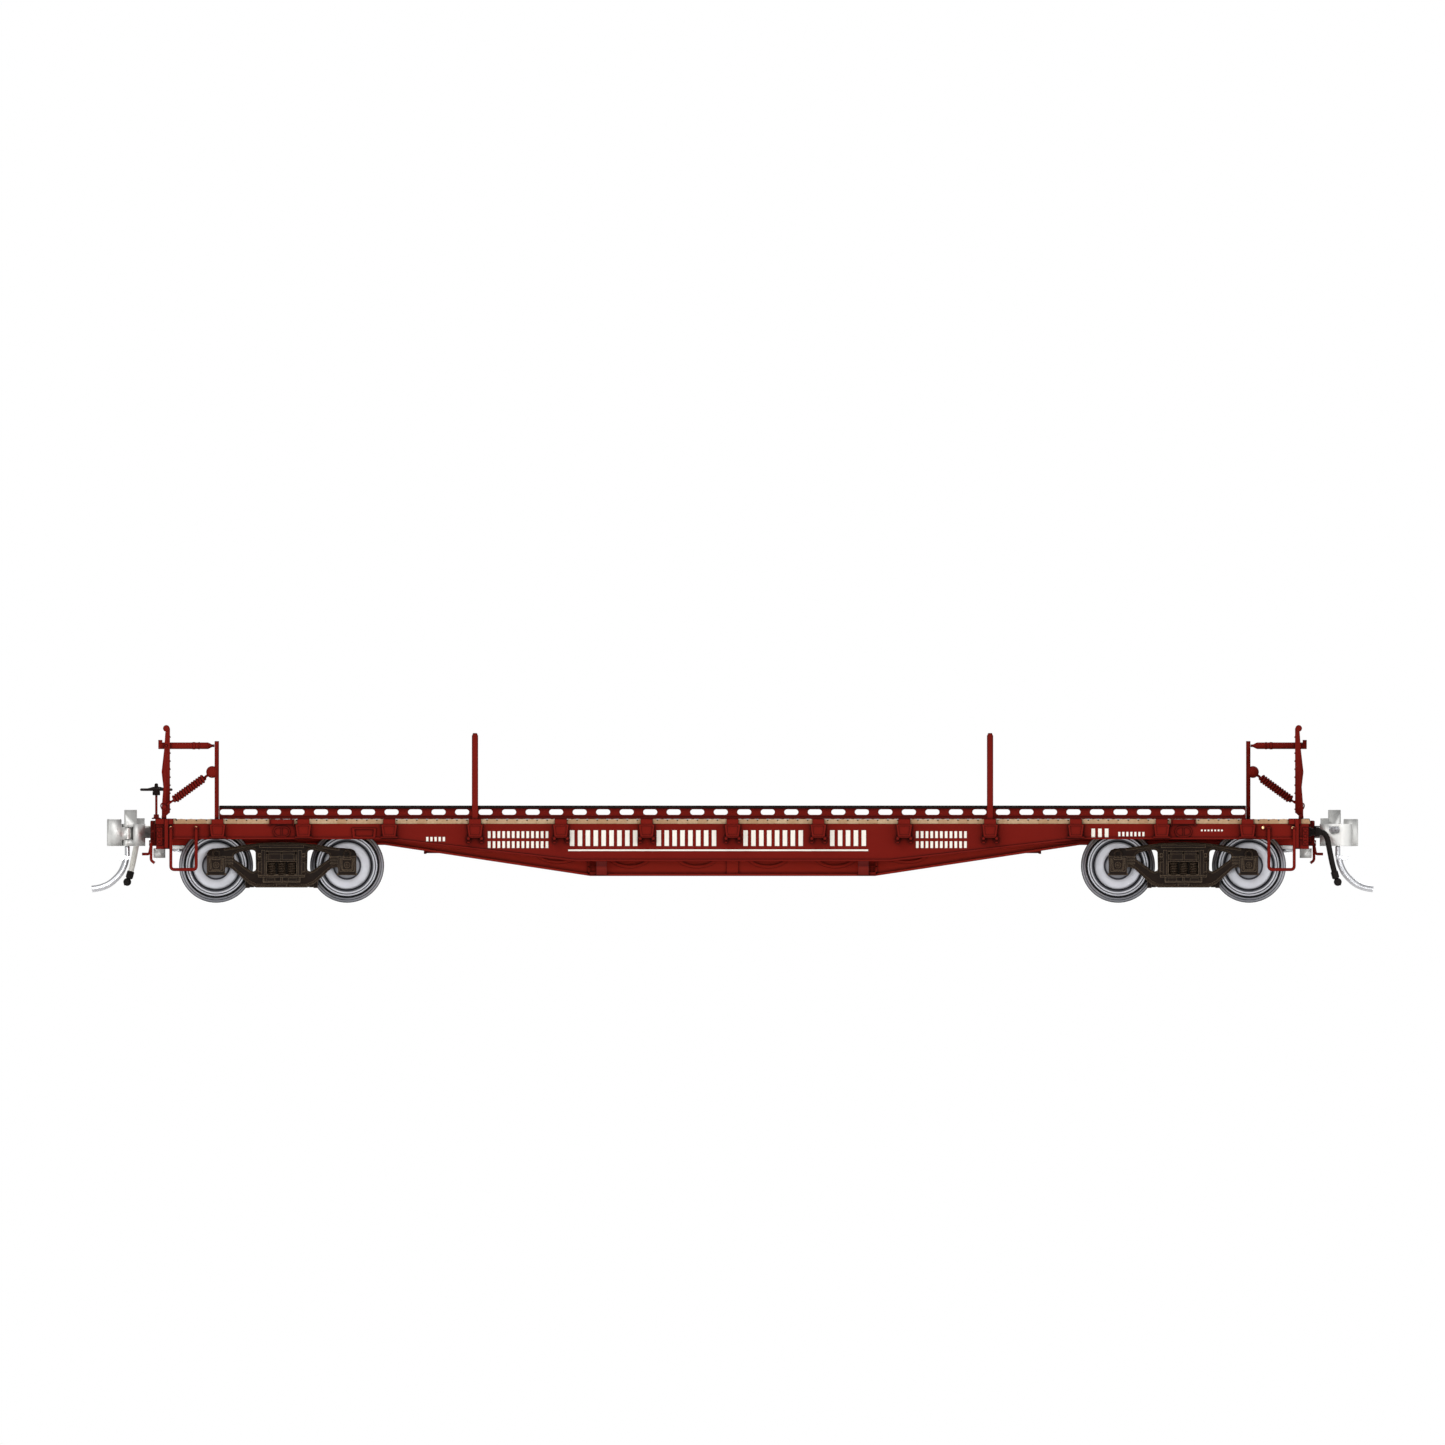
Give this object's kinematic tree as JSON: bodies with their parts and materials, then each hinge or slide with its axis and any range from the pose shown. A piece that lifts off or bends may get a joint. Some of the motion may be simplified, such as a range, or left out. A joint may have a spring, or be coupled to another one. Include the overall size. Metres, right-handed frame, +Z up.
{
  "type": "model railway flat car",
  "caption": "HO scale piggyback flat car: fishbelly frame, plank deck, rub rails, hinged end bridge plates, sprung counterbalances, knuckle couplers and swivelling two-axle trucks.",
  "frame": {"origin": "middle of the car in plan, at the height of the lowest point of the wheel flanges", "axes": "+X along the car towards the end without the hand brake, +Y across it to the far side, +Z up"},
  "size_m": [0.192, 0.0358, 0.0266],
  "materials": {
    "oxide_red_paint": "flat oxide red paint over moulded plastic and wire",
    "deck_wood": "unpainted fine-grained deck boards",
    "truck_brown_plastic": "self-coloured dark brown engineering plastic",
    "blackened_wheel_steel": "turned steel, bright tread and darkened face rings",
    "bare_coupler_metal": "bare zinc alloy, pressure cast and tumbled",
    "natural_nylon_hose": "unpainted natural nylon, with a black gladhand",
    "bright_steel": "plain bright steel",
    "hose_rubber": "flexible black hose, satin"
  },
  "bodies": {
    "car_body": {"underframe": "oxide_red_paint", "deck": "deck_wood", "ballast_weight": "bright_steel", "rub_rail_near": "oxide_red_paint", "rub_rail_far": "oxide_red_paint", "end_post_near": "oxide_red_paint", "end_post_far": "oxide_red_paint", "stake_left_near": "oxide_red_paint", "stake_left_far": "oxide_red_paint", "stake_right_near": "oxide_red_paint", "stake_right_far": "oxide_red_paint", "bridge_hinge_left": "oxide_red_paint", "bridge_hinge_right": "oxide_red_paint", "counterbalance_spring_left": "oxide_red_paint", "counterbalance_spring_right": "oxide_red_paint", "brake_stand": "oxide_red_paint", "brake_cylinder": "oxide_red_paint", "air_reservoir": "oxide_red_paint", "control_valve": "oxide_red_paint", "brake_rods": "oxide_red_paint", "draft_lid_left": "bare_coupler_metal", "draft_lid_right": "bare_coupler_metal", "cut_lever_left": "oxide_red_paint", "cut_lever_right": "oxide_red_paint", "air_hose_left": "natural_nylon_hose", "air_hose_right": "hose_rubber", "step_left_near": "oxide_red_paint", "step_left_far": "oxide_red_paint", "step_right_near": "oxide_red_paint", "step_right_far": "oxide_red_paint", "king_screw_left": "bright_steel", "king_screw_right": "bright_steel"},
    "bridge_left": {"bridge_plate_left": "oxide_red_paint"},
    "lock_left": {"lock_bar_left": "oxide_red_paint"},
    "hook_left": {"spring_hook_left": "oxide_red_paint"},
    "coupler_left_body": {"coupler_left": "bare_coupler_metal"},
    "knuckle_left_body": {"knuckle_left": "bare_coupler_metal", "trip_pin_left": "bright_steel"},
    "truck_left": {"side_frame_left_near": "truck_brown_plastic", "side_frame_left_far": "truck_brown_plastic", "truck_bolster_left": "truck_brown_plastic"},
    "wheelset_left_a": {"wheel_and_axle_left_a": "blackened_wheel_steel", "insulated_wheel_left_a": "blackened_wheel_steel"},
    "wheelset_left_b": {"wheel_and_axle_left_b": "blackened_wheel_steel", "insulated_wheel_left_b": "blackened_wheel_steel"},
    "bridge_right": {"bridge_plate_right": "oxide_red_paint"},
    "lock_right": {"lock_bar_right": "oxide_red_paint"},
    "hook_right": {"spring_hook_right": "oxide_red_paint"},
    "coupler_right_body": {"coupler_right": "bare_coupler_metal"},
    "knuckle_right_body": {"knuckle_right": "bare_coupler_metal", "trip_pin_right": "bright_steel"},
    "truck_right": {"side_frame_right_near": "truck_brown_plastic", "side_frame_right_far": "truck_brown_plastic", "truck_bolster_right": "truck_brown_plastic"},
    "wheelset_right_a": {"wheel_and_axle_right_a": "blackened_wheel_steel", "insulated_wheel_right_a": "blackened_wheel_steel"},
    "wheelset_right_b": {"wheel_and_axle_right_b": "blackened_wheel_steel", "insulated_wheel_right_b": "blackened_wheel_steel"},
    "hand_brake": {"brake_wheel": "oxide_red_paint", "brake_staff": "oxide_red_paint"}
  },
  "joints": [
    {"name": "bridge_fold_left", "type": "hinge", "parent": "car_body", "child": "bridge_left", "pos_m": [-0.0851, -0.012, 0.01292], "axis": [0, -1, 0], "range_deg": [0, 90], "stiffness_Nm_per_rad": 0.00002, "springref_deg": -17.19},
    {"name": "lock_bar_lift_left", "type": "hinge", "parent": "bridge_left", "child": "lock_left", "pos_m": [-0.08475, -0.01515, 0.0235], "axis": [0, -1, 0], "range_deg": [0, 75]},
    {"name": "spring_pull_left", "type": "slide", "parent": "car_body", "child": "hook_left", "axis": [-0.8077, 0, -0.5896], "range_m": [0, 0.00205], "deforming": ["counterbalance_spring_left"]},
    {"name": "coupler_swing_left", "type": "hinge", "parent": "car_body", "child": "coupler_left_body", "pos_m": [-0.083, 0, 0.01047], "axis": [0, 0, 1], "range_deg": [-8, 8], "stiffness_Nm_per_rad": 0.001},
    {"name": "knuckle_open_left", "type": "hinge", "parent": "coupler_left_body", "child": "knuckle_left_body", "pos_m": [-0.0906, -0.0011, 0.0104], "axis": [0, 0, 1], "range_deg": [0, 35], "stiffness_Nm_per_rad": 0.00005, "springref_deg": -11.46},
    {"name": "truck_swivel_left", "type": "hinge", "parent": "car_body", "child": "truck_left", "pos_m": [-0.0675, 0, 0.0086], "axis": [0, 0, 1], "range_deg": [-10, 10]},
    {"name": "wheelset_roll_left_a", "type": "hinge", "parent": "truck_left", "child": "wheelset_left_a", "pos_m": [-0.0773, 0, 0.00555], "axis": [0, 1, 0], "continuous": true},
    {"name": "wheelset_roll_left_b", "type": "hinge", "parent": "truck_left", "child": "wheelset_left_b", "pos_m": [-0.0577, 0, 0.00555], "axis": [0, 1, 0], "continuous": true},
    {"name": "bridge_fold_right", "type": "hinge", "parent": "car_body", "child": "bridge_right", "pos_m": [0.0851, 0.012, 0.01292], "axis": [0, 1, 0], "range_deg": [0, 90], "stiffness_Nm_per_rad": 0.00002, "springref_deg": -17.19},
    {"name": "lock_bar_lift_right", "type": "hinge", "parent": "bridge_right", "child": "lock_right", "pos_m": [0.08475, 0.01515, 0.0235], "axis": [0, 1, 0], "range_deg": [0, 75]},
    {"name": "spring_pull_right", "type": "slide", "parent": "car_body", "child": "hook_right", "axis": [0.8077, 0, -0.5896], "range_m": [0, 0.00205], "deforming": ["counterbalance_spring_right"]},
    {"name": "coupler_swing_right", "type": "hinge", "parent": "car_body", "child": "coupler_right_body", "pos_m": [0.083, 0, 0.01047], "axis": [0, 0, 1], "range_deg": [-8, 8], "stiffness_Nm_per_rad": 0.001},
    {"name": "knuckle_open_right", "type": "hinge", "parent": "coupler_right_body", "child": "knuckle_right_body", "pos_m": [0.0906, 0.0011, 0.0104], "axis": [0, 0, 1], "range_deg": [0, 35], "stiffness_Nm_per_rad": 0.00005, "springref_deg": -11.46},
    {"name": "truck_swivel_right", "type": "hinge", "parent": "car_body", "child": "truck_right", "pos_m": [0.0675, 0, 0.0086], "axis": [0, 0, 1], "range_deg": [-10, 10]},
    {"name": "wheelset_roll_right_a", "type": "hinge", "parent": "truck_right", "child": "wheelset_right_a", "pos_m": [0.0577, 0, 0.00555], "axis": [0, 1, 0], "continuous": true},
    {"name": "wheelset_roll_right_b", "type": "hinge", "parent": "truck_right", "child": "wheelset_right_b", "pos_m": [0.0773, 0, 0.00555], "axis": [0, 1, 0], "continuous": true},
    {"name": "hand_brake_turn", "type": "hinge", "parent": "car_body", "child": "hand_brake", "pos_m": [-0.08625, 0.009, 0.0128], "axis": [0, 0, 1], "continuous": true}
  ],
  "couplings": [
    {"joint": "spring_pull_left", "follows": "bridge_fold_left", "m_per_rad": 0.0013},
    {"joint": "spring_pull_right", "follows": "bridge_fold_right", "m_per_rad": 0.0013}
  ]
}
